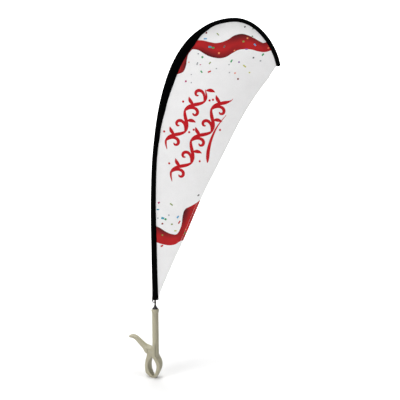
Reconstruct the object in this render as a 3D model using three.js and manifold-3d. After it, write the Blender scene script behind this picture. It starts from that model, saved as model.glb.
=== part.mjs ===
// Teardrop flag on a spring clamp. Millimetres, +Z up.
//
// The flag hangs in the plane of X and Z and its free corner points to +X. The clamp is turned about the
// vertical, so its own axes are u (away from the lever), v (across the jaws) and Z. Heights are given above
// the jaw tips, and the whole model is shifted at the end so that its origin lies between the jaw lips.
import * as THREE from "three";
import { mergeVertices } from "three/addons/utils/BufferGeometryUtils.js";
import Module from "manifold-3d";

const wasm = await Module();
wasm.setup();

// ---------------------------------------------------------------- driving dimensions
const CLAMP_TURN = THREE.MathUtils.degToRad(25); // how far the clamp is turned from the flag's plane
const GAP = 0.3; // left between pieces that touch

// clamp
const HALF = 13; // half the clamp's depth across its cheeks
// Half the depth of each jaw and the height it is at, from below the tip up to the cheeks.
const HANDLE_JAW_HALF_DEPTHS = [[6.5, -5], [6.5, 6], [7.4, 22], [9.8, 42], [HALF, 64], [HALF, 240]];
const LEVER_JAW_HALF_DEPTHS = [[7, -5], [7, 4], [10, 14], [12, 28], [HALF, 46], [HALF, 240]];
const CHEEK = 3.2; // thickness of one cheek
const PIVOT = { u: -9.5, z: 82 };
const CHEEK_RADIUS = 12.5; // round end of the cheeks, about the pivot
const EAR_RADIUS = 12.5; // the lever's inner ears
const POCKET_RADIUS = 13.3; // room for the ears inside the handle
const COIL_ROOM = 10.8; // width of the room for the spring, between the ears
const CLOSE_U = -7; // where the jaw lips meet
const LIP_HEIGHT = 4.5;
const PIN_RADIUS = 3;
const PIN_RUN = 0.1; // radial clearance of the ears and cheeks on the pin
const COVER_RADIUS = 4.4;
const COVER_DEPTH = 1.3;

// socket tube
const TUBE_RADIUS = 9.9;
const TUBE_TOP = 215.5;
const TUBE_FOOT = 62;
const COLLAR_RADIUS = 11.4;
const BORE_RADIUS = 7.2;
const BORE_FLOOR = 122;
const SNAP_GROOVE = { low: 188.5, high: 190.5, radius: 8.3 };

// swivel cartridge
const SWIVEL_RADIUS = 7;
const CONE_BASE_RADIUS = 8.8;
const CONE_TOP = 227;
const POLE_HOLE = 2.75;

// pole
const FOOT_RADIUS = 2.6;
const FOOT_END = 127.4;
const FOOT_TOP = 330;
const LOWER_RADIUS = 3.8;
const MIDDLE_RADIUS = 2.6;
const TIP_RADIUS = 1.9;
const FERRULE_WALL = 0.7;
const FERRULE_LENGTH = 42;
const SLEEVE_FOOT = 243.4; // where the sleeve starts
// The pole's centre line above the sleeve's foot: x from the tube's axis and height.
const POLE_LINE = [
  [0, 243.4],
  [-1.6, 320],
  [-2.6, 400],
  [-3.1, 480],
  [-1.7, 560],
  [1.6, 640],
  [7.1, 704],
  [16.2, 772],
  [30.4, 838],
  [51.8, 904.3],
  [72.6, 947.7],
  [99.7, 986.6],
  [127.1, 1012],
  [165, 1034.9],
  [203, 1045.8],
  [232.2, 1048.1],
  [260.7, 1042.5],
  [288.8, 1027.4],
  [313.5, 1004.6],
  [333.1, 977.3],
  [348.3, 943.7],
  [353.2, 926],
];

// cloth
const SLEEVE_THICK = 11.2;
const CLOTH_THICK = 1.2;
const HEM_WIDTH = 8;
const HEM_THICK = 1.8;
const TIP_POCKET_AT = 0.955; // share of the pole line where the end pocket starts
const CUFF_LENGTH = 9;
// Share of the pole line, width of the black sleeve there, and how far its outer edge stands off the pole.
const SLEEVE_WIDTH = [
  [0, 18, 8.4],
  [0.055, 17, 7.6],
  [0.15, 16.4, 7.2],
  [0.3, 14.8, 7.5],
  [0.38, 14.3, 7.5],
  [0.46, 16.4, 6.9],
  [0.52, 21, 7.2],
  [0.6, 25, 7.2],
  [0.65, 25, 6.9],
  [0.7, 24.6, 6.3],
  [0.735, 16.6, 5.9],
  [0.78, 11.6, 5.6],
  [0.86, 11, 5.5],
  [0.93, 12.4, 5.5],
  [1, 11.6, 5.4],
];
// The free edge, from the sleeve's end down to the lower tip.
const FREE_EDGE = [
  [350.3, 918.6],
  [294.5, 845.5],
  [249.4, 772.7],
  [212, 699],
  [174.7, 624.4],
  [137.9, 548.8],
  [89.4, 433.7],
  [54, 355.8],
  [20, 277],
  [10.2, 247],
];

// tension ring and its hook
const RING = { x: -9.2, z: 235.2, radius: 4.6, wire: 0.8 };
const HOOK_COLLAR = { radius: 3.4, low: 232.8, high: 237.4 };
const PEG = { x: -6.6, radius: 1.1, front: -3, back: 2.7 };

// torsion spring
const WIRE = 1; // radius of the wire
const COIL = { radius: 5.2, turns: 2.5, pitch: 2.3, from: 1.8 }; // "from" is its rear end

// ---------------------------------------------------------------- materials
const material = (color, roughness, metalness = 0) =>
  new THREE.MeshStandardMaterial({ color, roughness, metalness });
const clampPlastic = material(0xaca591, 0.5);
const blackPlastic = material(0x151413, 0.45);
const steel = material(0xb9bbbd, 0.3, 1);
const darkSteel = material(0x2a2524, 0.4, 0.8);
const fibreglass = material(0x1b1b1c, 0.4);
const blackCloth = material(0x08080a, 0.9);
const whiteCloth = material(0xe4e4e4, 0.85);

// ---------------------------------------------------------------- solids
function toSolid(geometry) {
  const bare = new THREE.BufferGeometry();
  bare.setAttribute("position", geometry.getAttribute("position"));
  bare.setIndex(geometry.index);
  const merged = mergeVertices(bare, 1e-4);
  return new wasm.Manifold(
    new wasm.Mesh({
      numProp: 3,
      vertProperties: merged.attributes.position.array,
      triVerts: new Uint32Array(merged.index.array),
    }),
  );
}

function toMesh(solid, name, look) {
  const mesh = solid.getMesh();
  const geometry = new THREE.BufferGeometry();
  geometry.setAttribute("position", new THREE.BufferAttribute(mesh.vertProperties, 3));
  geometry.setIndex(new THREE.BufferAttribute(mesh.triVerts, 1));
  const piece = new THREE.Mesh(geometry, look);
  piece.name = name;
  return piece;
}

const join = (...solids) => solids.reduce((all, one) => all.add(one));

const points2 = (pairs) => pairs.map(([x, y]) => new THREE.Vector2(x, y));
const smooth = (pairs, steps) => new THREE.SplineCurve(points2(pairs)).getPoints(steps);

// A flat outline of (across, height) points, given its depth along Y.
function slab(outline, yLow, yHigh) {
  const geometry = new THREE.ExtrudeGeometry(new THREE.Shape(outline), {
    depth: yHigh - yLow,
    bevelEnabled: false,
  });
  geometry.rotateX(Math.PI / 2);
  geometry.translate(0, yHigh, 0);
  return toSolid(geometry);
}

// An outline of (Y, height) points, extruded along X.
function slabAlongX(outline, xLow, xHigh) {
  return slab(outline, -xHigh, -xLow).rotate([0, 0, 90]);
}

// A plan outline of (X, Y) points, extruded upwards.
function slabAlongZ(outline, zLow, zHigh) {
  const geometry = new THREE.ExtrudeGeometry(new THREE.Shape(outline), {
    depth: zHigh - zLow,
    bevelEnabled: false,
  });
  geometry.translate(0, 0, zLow);
  return toSolid(geometry);
}

// A turned solid about the Z axis. The profile's points are (radius, height), from the bottom up.
function turned(profile, segments = 40) {
  const geometry = new THREE.LatheGeometry(points2(profile), segments);
  geometry.rotateX(Math.PI / 2);
  return toSolid(geometry);
}

// A ring or tube about the Z axis: the profile closes on itself.
const turnedRing = (profile, segments) => turned([...profile, profile[0]], segments);

const cylinder = (radius, low, high, segments) =>
  turned([[0, low], [radius, low], [radius, high], [0, high]], segments);

// A cylinder across the clamp, centred on the pivot.
function acrossPivot(radius, vLow, vHigh, segments = 40) {
  return cylinder(radius, vLow, vHigh, segments).rotate([-90, 0, 0]).translate([PIVOT.u, 0, PIVOT.z]);
}

// A round bar or tube swept along a curve.
function swept(curve, radius, steps, sides = 12, inner = 0) {
  const section = new THREE.Shape().absarc(0, 0, radius, 0, 2 * Math.PI);
  if (inner) section.holes.push(new THREE.Path().absarc(0, 0, inner, 0, 2 * Math.PI, true));
  return toSolid(
    new THREE.ExtrudeGeometry(section, {
      extrudePath: curve,
      steps,
      curveSegments: sides / 2,
      bevelEnabled: false,
    }),
  );
}

// ---------------------------------------------------------------- clamp
const CHEEK_INSIDE = HALF - CHEEK;

// A jaw gets narrower towards its tip: half its depth at some heights, from the tip up.
function jawTaper(halfDepths) {
  const mirrored = halfDepths.map(([v, z]) => [-v, z]).reverse();
  return slabAlongX(points2([...halfDepths, ...mirrored]), -120, 60);
}
const handleTaper = jawTaper(HANDLE_JAW_HALF_DEPTHS);
const leverTaper = jawTaper(LEVER_JAW_HALF_DEPTHS);

// The two transverse grip ribs inside a jaw, on the side that faces the other jaw.
function gripRibs(places) {
  return places.map(([u, z]) => cylinder(1.1, -HALF, HALF, 12).rotate([-90, 0, 0]).translate([u, 0, z]));
}

function socketHandle() {
  const lip = CLOSE_U + GAP / 2;
  const jawInside = smooth(
    [
      [lip, LIP_HEIGHT],
      [-2.4, 11],
      [2, 20],
      [5.4, 30],
      [7, 39],
      [5, 49],
      [1.2, 58],
      [-3.4, 64.2],
      [-6.6, 67],
    ],
    24,
  );
  const jawOutside = smooth(
    [
      [3.9, 73],
      [9, 64.6],
      [15, 56],
      [18.2, 46],
      [17.8, 36],
      [15, 26],
      [10.6, 16],
      [5, 6],
      [0.4, 0.6],
      [-2.4, 0],
    ],
    24,
  );
  const jaw = slab(
    [...jawInside, new THREE.Vector2(-6.6, 73), ...jawOutside, new THREE.Vector2(lip, 0)].reverse(),
    -HALF,
    HALF,
  );

  const cheekTop = smooth(
    [[3.9, 104], [3.4, 109], [1.6, 112.6], [-0.6, 112], [-2.4, 106], [-4.6, 99.5], [-9.5, 94.5]],
    16,
  );
  const cheek = slab(
    [new THREE.Vector2(-9.5, 72), new THREE.Vector2(3.9, 66), ...cheekTop],
    -HALF,
    HALF,
  );
  const cheekEnd = acrossPivot(CHEEK_RADIUS, -HALF, HALF, 48);
  // Above the cheeks their faces slope back to the tube.
  const slope = slabAlongX(
    points2([
      [-HALF, 0],
      [HALF, 0],
      [HALF, 102],
      [TUBE_RADIUS - 0.4, 113],
      [0.4 - TUBE_RADIUS, 113],
      [-HALF, 102],
    ]),
    -60,
    60,
  );
  // Towards the jaws only the tube's back goes on, and runs out in the jaw.
  const tubeRoom = slab(
    points2([[-2, TUBE_FOOT], [12, TUBE_FOOT], [12, 240], [-12, 240], [-12, 76], [-5.6, 72]]),
    -12,
    12,
  );
  const tube = cylinder(TUBE_RADIUS, TUBE_FOOT, TUBE_TOP - 5, 40).intersect(tubeRoom);
  const collar = turned(
    [
      [0, TUBE_TOP - 11],
      [TUBE_RADIUS - 0.1, TUBE_TOP - 11],
      [10.7, TUBE_TOP - 9.4],
      [11.2, TUBE_TOP - 7.6],
      [COLLAR_RADIUS, TUBE_TOP - 5.6],
      [COLLAR_RADIUS, TUBE_TOP - 3.4],
      [11.1, TUBE_TOP - 1.6],
      [10.5, TUBE_TOP - 0.5],
      [9.8, TUBE_TOP],
      [0, TUBE_TOP],
    ],
    40,
  );
  const bore = turned(
    [
      [0, BORE_FLOOR],
      [BORE_RADIUS, BORE_FLOOR],
      [BORE_RADIUS, SNAP_GROOVE.low],
      [SNAP_GROOVE.radius, SNAP_GROOVE.low],
      [SNAP_GROOVE.radius, SNAP_GROOVE.high],
      [BORE_RADIUS, SNAP_GROOVE.high],
      [BORE_RADIUS, TUBE_TOP + 1],
      [0, TUBE_TOP + 1],
    ],
    32,
  );
  const pocket = acrossPivot(POCKET_RADIUS, -CHEEK_INSIDE, CHEEK_INSIDE, 48);
  const body = join(join(cheek, cheekEnd).intersect(slope), jaw, tube, collar)
    .intersect(handleTaper)
    .subtract(bore)
    .subtract(pocket)
    .subtract(acrossPivot(PIN_RADIUS + PIN_RUN, -HALF - 1, HALF + 1, 32))
    .subtract(acrossPivot(COVER_RADIUS + GAP, HALF - COVER_DEPTH - GAP, HALF + 1, 32))
    .subtract(acrossPivot(COVER_RADIUS + GAP, -HALF - 1, COVER_DEPTH + GAP - HALF, 32));
  const ribs = gripRibs([[-1.6, 12.2], [2.2, 19.2]]).map((rib) => rib.intersect(handleTaper));
  return toMesh(join(body, ...ribs), "socket_handle", clampPlastic);
}

function leverJaw() {
  const lip = CLOSE_U - GAP / 2;
  const jawInside = smooth(
    [
      [-8, 67.4],
      [-11, 64.6],
      [-16, 57],
      [-19.6, 48],
      [-21, 38],
      [-20, 27],
      [-17, 18],
      [-12.6, 10.6],
      [lip, LIP_HEIGHT],
    ],
    24,
  );
  const jawOutside = smooth(
    [
      [-12, 0],
      [-19.5, 2.6],
      [-26.6, 8.6],
      [-31.4, 17.4],
      [-33.4, 29],
      [-32.7, 42],
      [-28.6, 56.6],
      [-24.6, 68],
      [-24, 76.6],
    ],
    24,
  );
  const heel = smooth([[-24, 76.6], [-28, 76.6], [-33.6, 78], [-37.6, 82], [-41.4, 87.2]], 10);
  const underside = smooth(
    [[-41.4, 87.2], [-49.4, 93.4], [-56.4, 99.6], [-63.4, 106.6], [-71, 112.4], [-80, 115], [-88, 115]],
    18,
  );
  const tip = smooth([[-88, 115], [-91.4, 116], [-92, 117.8], [-89.4, 120]], 6);
  const top = smooth(
    [
      [-89.4, 120],
      [-82, 122],
      [-73, 122],
      [-62, 118.4],
      [-52.8, 112.4],
      [-39.7, 102.8],
      [-28.7, 95.8],
      [-17, 92],
    ],
    20,
  );
  const outline = [
    new THREE.Vector2(lip, 0),
    ...jawOutside,
    ...heel.slice(1),
    ...underside.slice(1),
    ...tip.slice(1),
    ...top.slice(1),
    new THREE.Vector2(PIVOT.u, PIVOT.z),
    new THREE.Vector2(-8, 74),
    ...jawInside,
  ].reverse();
  const plan = smooth(
    [
      [8, 13.2],
      [-24, 13.2],
      [-30, 10.6],
      [-37, 7.4],
      [-48, 6.2],
      [-62, 6.2],
      [-74, 7.4],
      [-84, 8.2],
      [-90, 6],
      [-92.4, 0],
    ],
    30,
  );
  const otherSide = plan.slice(0, -1).map((p) => new THREE.Vector2(p.x, -p.y)).reverse();
  const planBody = slabAlongZ([...plan, ...otherSide], -5, 140);
  const blade = slab(outline, -HALF, HALF).intersect(leverTaper).intersect(planBody);

  const ears = acrossPivot(EAR_RADIUS, GAP - CHEEK_INSIDE, CHEEK_INSIDE - GAP, 48);
  // The jaw's and the lever's flanks stop just outside the cheeks' round ends.
  const flankRoom = (low, high) => acrossPivot(CHEEK_RADIUS + 0.5, low, high, 48);
  // A groove along the lever's upper side.
  const grooveFloor = smooth(
    [[-86, 119.4], [-80, 120.2], [-72, 119.6], [-62.6, 116.4], [-54, 111], [-41, 101.6], [-32, 95.6]],
    20,
  );
  // Between the ears the lever is open towards the tube, for the spring.
  const springWindow = points2([[-13, 69.4], [8, 69.4], [8, 98], [-13, 98]]);
  const grooveMouth = points2([[-28, 130], [-86, 130]]);
  const groove = slab([...grooveFloor, ...grooveMouth], -3.4, 3.4);
  const body = join(
    blade
      .subtract(flankRoom(CHEEK_INSIDE - GAP, HALF + 1))
      .subtract(flankRoom(-HALF - 1, GAP - CHEEK_INSIDE)),
    ears,
  )
    .subtract(groove)
    .subtract(acrossPivot(EAR_RADIUS - 0.8, -COIL_ROOM / 2, COIL_ROOM / 2, 48))
    .subtract(slab(springWindow, -COIL_ROOM / 2, COIL_ROOM / 2))
    .subtract(acrossPivot(PIN_RADIUS + PIN_RUN, -HALF, HALF, 32));
  const ribs = gripRibs([[-11.8, 10], [-15.8, 16.4]]).map((rib) => rib.intersect(leverTaper));
  return toMesh(join(body, ...ribs), "lever_jaw", clampPlastic);
}

const pinEnd = HALF - COVER_DEPTH - 2 * GAP;
const pivotPin = () => toMesh(acrossPivot(PIN_RADIUS, -pinEnd, pinEnd, 32), "pivot_pin", steel);

function pivotCover(name, side) {
  const inner = pinEnd + GAP;
  const profile = [[0, inner], [COVER_RADIUS, inner], [COVER_RADIUS, HALF - 0.4], [3.9, HALF], [0, HALF]];
  const cover = turned(profile, 32)
    .rotate([-90 * side, 0, 0])
    .translate([PIVOT.u, 0, PIVOT.z]);
  return toMesh(cover, name, clampPlastic);
}

// The spring's wire about the pivot: a helix from one angle to another, then a straight leg.
class SpringWire extends THREE.Curve {
  constructor(fromAngle, toAngle, fromV, toV, leg) {
    super();
    Object.assign(this, { fromAngle, toAngle, fromV, toV, leg });
    this.share = 1 - leg / (leg + COIL.radius * Math.abs(toAngle - fromAngle));
  }
  helix(t) {
    const angle = THREE.MathUtils.lerp(this.fromAngle, this.toAngle, t);
    return new THREE.Vector3(
      PIVOT.u + COIL.radius * Math.cos(angle),
      THREE.MathUtils.lerp(this.fromV, this.toV, t),
      PIVOT.z + COIL.radius * Math.sin(angle),
    );
  }
  getPoint(t, target = new THREE.Vector3()) {
    if (t <= this.share) return target.copy(this.helix(t / this.share));
    const end = this.helix(1);
    const heading = this.toAngle + (Math.PI / 2) * Math.sign(this.toAngle - this.fromAngle);
    const along = (this.leg * (t - this.share)) / (1 - this.share);
    return target.set(end.x + along * Math.cos(heading), end.y, end.z + along * Math.sin(heading));
  }
}

// The coil, and the leg that bears on the handle.
function springCoil() {
  const end = THREE.MathUtils.degToRad(135);
  const start = end + 2 * Math.PI * COIL.turns;
  const wire = new SpringWire(start, end, COIL.from, COIL.from - COIL.pitch * COIL.turns, 10.6);
  return toMesh(swept(wire, WIRE, 64, 8), "spring_coil", steel);
}

// The last part of a turn, and the leg that bears on the lever.
function springLeg() {
  const v = COIL.from + COIL.pitch;
  const wire = new SpringWire(THREE.MathUtils.degToRad(-45), THREE.MathUtils.degToRad(60), v, v, 8.6);
  return toMesh(swept(wire, WIRE, 18, 8), "spring_leg", steel);
}

// ---------------------------------------------------------------- swivel cartridge in the socket tube
function thrustWasher() {
  const [low, high] = [BORE_FLOOR + GAP, BORE_FLOOR + 1.7];
  return toMesh(turnedRing([[2, low], [6.8, low], [6.8, high], [2, high]]), "thrust_washer", steel);
}

function lowerBush() {
  const low = BORE_FLOOR + 2;
  const bush = turned([
    [0, low],
    [SWIVEL_RADIUS - 0.6, low],
    [SWIVEL_RADIUS, low + 0.6],
    [SWIVEL_RADIUS, 136],
    [POLE_HOLE + 0.8, 136],
    [POLE_HOLE, 135.2],
    [POLE_HOLE, FOOT_END - GAP],
    [0, FOOT_END - GAP],
  ]);
  return toMesh(bush, "lower_bush", blackPlastic);
}

function spacerTube() {
  const [low, high] = [136 + GAP, SNAP_GROOVE.low + 0.1];
  const tube = turnedRing([[5.6, low], [SWIVEL_RADIUS, low], [SWIVEL_RADIUS, high], [5.6, high]]);
  return toMesh(tube, "spacer_tube", fibreglass);
}

function snapRing() {
  const [low, high] = [SNAP_GROOVE.low + GAP, SNAP_GROOVE.high - GAP];
  const ring = turnedRing([[5.9, low], [8, low], [8, high], [5.9, high]], 48);
  const slitSection = points2([[-1.4, low - 1], [1.4, low - 1], [1.4, high + 1], [-1.4, high + 1]]);
  const slit = slabAlongX(slitSection, 0, 10);
  return toMesh(ring.subtract(slit), "snap_ring", darkSteel);
}

function coneBush() {
  const flange = TUBE_TOP + GAP;
  const bush = turnedRing([
    [POLE_HOLE, 184],
    [5.4, 184],
    [5.4, SNAP_GROOVE.high + GAP],
    [SWIVEL_RADIUS, SNAP_GROOVE.high + GAP],
    [SWIVEL_RADIUS, flange],
    [CONE_BASE_RADIUS, flange],
    [CONE_BASE_RADIUS, flange + 1],
    [7.2, flange + 2.5],
    [5.4, flange + 4.7],
    [4.2, flange + 7],
    [3.5, flange + 9],
    [3.2, CONE_TOP],
    [POLE_HOLE, CONE_TOP],
  ], 48);
  return toMesh(bush, "cone_bush", blackPlastic);
}

// ---------------------------------------------------------------- pole
const poleLine = new THREE.CatmullRomCurve3(
  POLE_LINE.map(([x, z]) => new THREE.Vector3(x, 0, z)),
  false,
  "centripetal",
);
poleLine.arcLengthDivisions = 600;
const POLE_LENGTH = poleLine.getLength();

// A stretch of the pole line between two distances from the sleeve's foot.
class Stretch extends THREE.Curve {
  constructor(from, to) {
    super();
    this.from = from;
    this.to = to;
  }
  getPoint(t, target = new THREE.Vector3()) {
    const distance = THREE.MathUtils.lerp(this.from, this.to, t);
    return poleLine.getPointAt(THREE.MathUtils.clamp(distance / POLE_LENGTH, 0, 1), target);
  }
}

const LOWER_FROM = 4;
const LOWER_TO = 372;
const MIDDLE_FROM = LOWER_TO - 40;
const MIDDLE_TO = 690;
const TIP_TO = POLE_LENGTH - 10;

function poleFoot() {
  const straight = cylinder(FOOT_RADIUS, FOOT_END, SLEEVE_FOOT + 6, 24);
  const inside = swept(new Stretch(0, FOOT_TOP - SLEEVE_FOOT), FOOT_RADIUS, 8, 12);
  return toMesh(straight.add(inside), "pole_foot", darkSteel);
}

function lowerSection() {
  const tube = swept(new Stretch(LOWER_FROM, LOWER_TO), LOWER_RADIUS, 16, 12, FOOT_RADIUS + 0.35);
  return toMesh(tube, "lower_section", fibreglass);
}

const middleSection = () =>
  toMesh(swept(new Stretch(MIDDLE_FROM, MIDDLE_TO), MIDDLE_RADIUS, 20, 10), "middle_section", fibreglass);

const tipSection = () =>
  toMesh(swept(new Stretch(MIDDLE_TO + GAP, TIP_TO), TIP_RADIUS, 36, 8), "tip_section", fibreglass);

// A tube over the joint between two sections.
function ferrule(name, from, to, rod) {
  const inner = rod + 0.25;
  return toMesh(swept(new Stretch(from, to), inner + FERRULE_WALL, 6, 12, inner), name, steel);
}

function tipCap() {
  const length = 8;
  const cap = turned(
    [[0, GAP], [2, GAP], [2.3, 0.9], [2.3, 4.6], [2, 6.2], [1.2, length - 0.9], [0, length - 0.6]],
    16,
  );
  const tangent = poleLine.getTangentAt(TIP_TO / POLE_LENGTH);
  const end = poleLine.getPointAt(TIP_TO / POLE_LENGTH);
  const tilt = THREE.MathUtils.radToDeg(Math.atan2(tangent.x, tangent.z));
  return toMesh(cap.rotate([0, tilt, 0]).translate([end.x, end.y, end.z]), "tip_cap", blackPlastic);
}

function hookCollar() {
  const { radius, low, high } = HOOK_COLLAR;
  const hole = FOOT_RADIUS + 0.15;
  const collar = cylinder(radius, low, high, 32);
  const middle = RING.z;
  const arm = slab(
    points2([[PEG.x, middle - 0.7], [-1.2, middle - 1.3], [-1.2, middle + 1.3], [PEG.x, middle + 0.7]]),
    1.4,
    3.1,
  );
  const peg = cylinder(PEG.radius, PEG.front, PEG.back, 16)
    .rotate([-90, 0, 0])
    .translate([PEG.x, 0, middle]);
  const bore = cylinder(hole, low - 1, high + 1, 32);
  return toMesh(join(collar, arm, peg).subtract(bore), "hook_collar", darkSteel);
}

function tensionRing() {
  const ring = new THREE.TorusGeometry(RING.radius, RING.wire, 8, 32);
  ring.rotateX(Math.PI / 2);
  return toMesh(toSolid(ring).translate([RING.x, 0, RING.z]), "tension_ring", steel);
}

// A loop of webbing round the ring's top, sewn to the sleeve's cuff.
function webbingLoop() {
  const x = RING.x + 0.8;
  const top = RING.z + RING.radius;
  const acrossRing = (radius, half) =>
    cylinder(radius, -half, half, 20).rotate([0, 90, 0]).translate([x, 0, top]);
  const tab = slab(
    points2([[x - 1.4, top], [x + 1.4, top], [-4.4, SLEEVE_FOOT - GAP], [-8, SLEEVE_FOOT - GAP]]),
    -2,
    2,
  );
  return toMesh(join(acrossRing(2.6, 1.4), tab).subtract(acrossRing(1.65, 6)), "webbing_loop", blackCloth);
}

// ---------------------------------------------------------------- cloth
// Reads a column of SLEEVE_WIDTH at a share of the pole line, smoothly between its rows.
function alongSleeve(share, column) {
  const rows = SLEEVE_WIDTH;
  const next = Math.max(1, rows.findIndex((row) => row[0] >= share));
  const [low, high] = [rows[next - 1], rows[next]];
  const t = THREE.MathUtils.smoothstep(share, low[0], high[0]);
  return THREE.MathUtils.lerp(low[column], high[column], t);
}

// A point beside the pole line, at a distance towards the cloth.
function besidePole(share, inward) {
  const p = poleLine.getPointAt(share);
  const tangent = poleLine.getTangentAt(share);
  return new THREE.Vector2(p.x + tangent.z * inward, p.z - tangent.x * inward);
}

const outerEdge = (share) => besidePole(share, -alongSleeve(share, 2));
const innerEdge = (share, extra = 0) =>
  besidePole(share, alongSleeve(share, 1) - alongSleeve(share, 2) + extra);

// Evenly spaced shares of the pole line.
const spaced = (from, to, steps) =>
  Array.from({ length: steps + 1 }, (_, i) => THREE.MathUtils.lerp(from, to, i / steps));
const cuffShare = CUFF_LENGTH / POLE_LENGTH;
const sleeveShares = spaced(cuffShare, TIP_POCKET_AT, 56);
const pocketShares = spaced(TIP_POCKET_AT + GAP / POLE_LENGTH, 1, 6);

// The flat outline of the black cloth over some shares of the pole line.
const band = (shares, nose = []) => [
  ...shares.map((share) => innerEdge(share)),
  ...nose,
  ...shares.map((share) => outerEdge(share)).reverse(),
];

function sleeve() {
  const body = slab(band(sleeveShares), -SLEEVE_THICK / 2, SLEEVE_THICK / 2);
  const wide = swept(new Stretch(0, MIDDLE_TO + 30), LOWER_RADIUS + 1.4, 26, 10);
  const narrow = swept(new Stretch(MIDDLE_TO + 20, POLE_LENGTH), TIP_RADIUS + 0.9, 36, 8);
  return toMesh(body.subtract(wide).subtract(narrow), "sleeve", blackCloth);
}

// The doubled end of the sleeve, a little wider than the rest.
function sleeveCuff() {
  const flare = 0.9;
  const shares = [0, 0.4, 1].map((t) => t * (cuffShare - GAP / POLE_LENGTH));
  const outer = shares.map((s) => besidePole(s, -alongSleeve(s, 2) - flare));
  const inner = shares.map((s) => innerEdge(s, flare));
  const body = slab([...inner, ...outer.reverse()], -SLEEVE_THICK / 2, SLEEVE_THICK / 2);
  const hole = cylinder(LOWER_RADIUS + 0.5, SLEEVE_FOOT - 5, SLEEVE_FOOT + 20, 24);
  return toMesh(body.subtract(hole), "sleeve_cuff", blackCloth);
}

function tipPocket() {
  const end = besidePole(1, 0);
  const tangent = poleLine.getTangentAt(1);
  const nose = new THREE.Vector2(end.x + tangent.x * 5, end.y + tangent.z * 5);
  const body = slab(band(pocketShares, [nose]), -SLEEVE_THICK / 2, SLEEVE_THICK / 2);
  const channel = swept(new Stretch(POLE_LENGTH * TIP_POCKET_AT - 10, POLE_LENGTH - 1), 2.9, 12, 8);
  return toMesh(body.subtract(channel), "tip_pocket", blackCloth);
}

const freeEdge = new THREE.SplineCurve(points2(FREE_EDGE));
// Points of the free edge, moved towards the cloth.
function freeEdgeInset(inset) {
  const steps = 24;
  return spaced(0, 1, steps).map((share) => {
    const p = freeEdge.getPointAt(share);
    const tangent = freeEdge.getTangentAt(share);
    return new THREE.Vector2(p.x + tangent.y * inset, p.y - tangent.x * inset);
  });
}

// The cloth between the sleeve and the free edge, above the cuff, and the strip of it along the free edge.
function clothRegion(thickness) {
  const bySleeve = [...sleeveShares, ...pocketShares].map((share) => innerEdge(share, GAP));
  const region = slab([...bySleeve, ...freeEdgeInset(0)], -thickness / 2, thickness / 2);
  return region.trimByPlane([0, 0, 1], SLEEVE_FOOT + CUFF_LENGTH);
}
const hemStrip = (width) => slab([...freeEdgeInset(-5), ...freeEdgeInset(width).reverse()], -5, 5);

const trailingHem = () =>
  toMesh(clothRegion(HEM_THICK).intersect(hemStrip(HEM_WIDTH)), "trailing_hem", whiteCloth);

const flagPanel = () =>
  toMesh(clothRegion(CLOTH_THICK).subtract(hemStrip(HEM_WIDTH + GAP)), "flag_panel", whiteCloth);

// ---------------------------------------------------------------- assembly
const clamp = new THREE.Group();
clamp.rotation.z = -CLAMP_TURN;
clamp.add(socketHandle(), leverJaw(), pivotPin());
clamp.add(pivotCover("pivot_cover_front", -1), pivotCover("pivot_cover_rear", 1));
clamp.add(springCoil(), springLeg());

const swivel = new THREE.Group();
swivel.add(thrustWasher(), lowerBush(), spacerTube(), snapRing(), coneBush());

const pole = new THREE.Group();
pole.add(poleFoot(), lowerSection(), middleSection(), tipSection(), tipCap());
pole.add(ferrule("lower_ferrule", LOWER_TO - 20, LOWER_TO - 20 + FERRULE_LENGTH, LOWER_RADIUS));
const halfFerrule = FERRULE_LENGTH / 2;
pole.add(ferrule("upper_ferrule", MIDDLE_TO - halfFerrule, MIDDLE_TO + halfFerrule, MIDDLE_RADIUS));
pole.add(hookCollar(), tensionRing(), webbingLoop());

const flag = new THREE.Group();
flag.add(sleeve(), sleeveCuff(), tipPocket(), flagPanel(), trailingHem());

const teardropFlag = new THREE.Group();
teardropFlag.position.set(
  -CLOSE_U * Math.cos(CLAMP_TURN),
  CLOSE_U * Math.sin(CLAMP_TURN),
  -LIP_HEIGHT / 2,
);
teardropFlag.add(clamp, swivel, pole, flag);

export default teardropFlag;
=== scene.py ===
"""Looks for a teardrop flag on a spring clamp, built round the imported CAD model. Metres, +Z up."""

import math
from collections import Counter

import bmesh
import bpy
import numpy as np
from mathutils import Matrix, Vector, noise
from mathutils.geometry import delaunay_2d_cdt


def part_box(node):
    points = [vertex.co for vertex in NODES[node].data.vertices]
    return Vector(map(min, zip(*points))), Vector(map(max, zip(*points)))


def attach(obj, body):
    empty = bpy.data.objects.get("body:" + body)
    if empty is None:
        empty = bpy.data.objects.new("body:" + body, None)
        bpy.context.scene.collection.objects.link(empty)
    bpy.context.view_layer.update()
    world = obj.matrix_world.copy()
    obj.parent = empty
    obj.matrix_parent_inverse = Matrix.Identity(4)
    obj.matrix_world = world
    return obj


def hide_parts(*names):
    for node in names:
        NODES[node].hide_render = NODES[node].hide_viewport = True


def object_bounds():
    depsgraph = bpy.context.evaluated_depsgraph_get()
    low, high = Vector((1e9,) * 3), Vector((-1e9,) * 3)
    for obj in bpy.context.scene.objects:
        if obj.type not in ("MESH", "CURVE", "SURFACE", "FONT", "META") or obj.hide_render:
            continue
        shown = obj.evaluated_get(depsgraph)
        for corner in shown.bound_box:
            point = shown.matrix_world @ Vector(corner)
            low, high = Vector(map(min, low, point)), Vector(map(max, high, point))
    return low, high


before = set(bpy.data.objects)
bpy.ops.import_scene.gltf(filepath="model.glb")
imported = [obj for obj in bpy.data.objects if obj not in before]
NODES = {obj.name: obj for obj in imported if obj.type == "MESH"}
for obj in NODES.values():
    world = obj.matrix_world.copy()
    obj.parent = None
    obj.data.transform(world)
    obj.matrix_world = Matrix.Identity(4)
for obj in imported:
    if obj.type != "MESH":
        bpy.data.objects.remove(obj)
CAD_BOX = [list(corner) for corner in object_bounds()]
MM = 0.001


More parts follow.
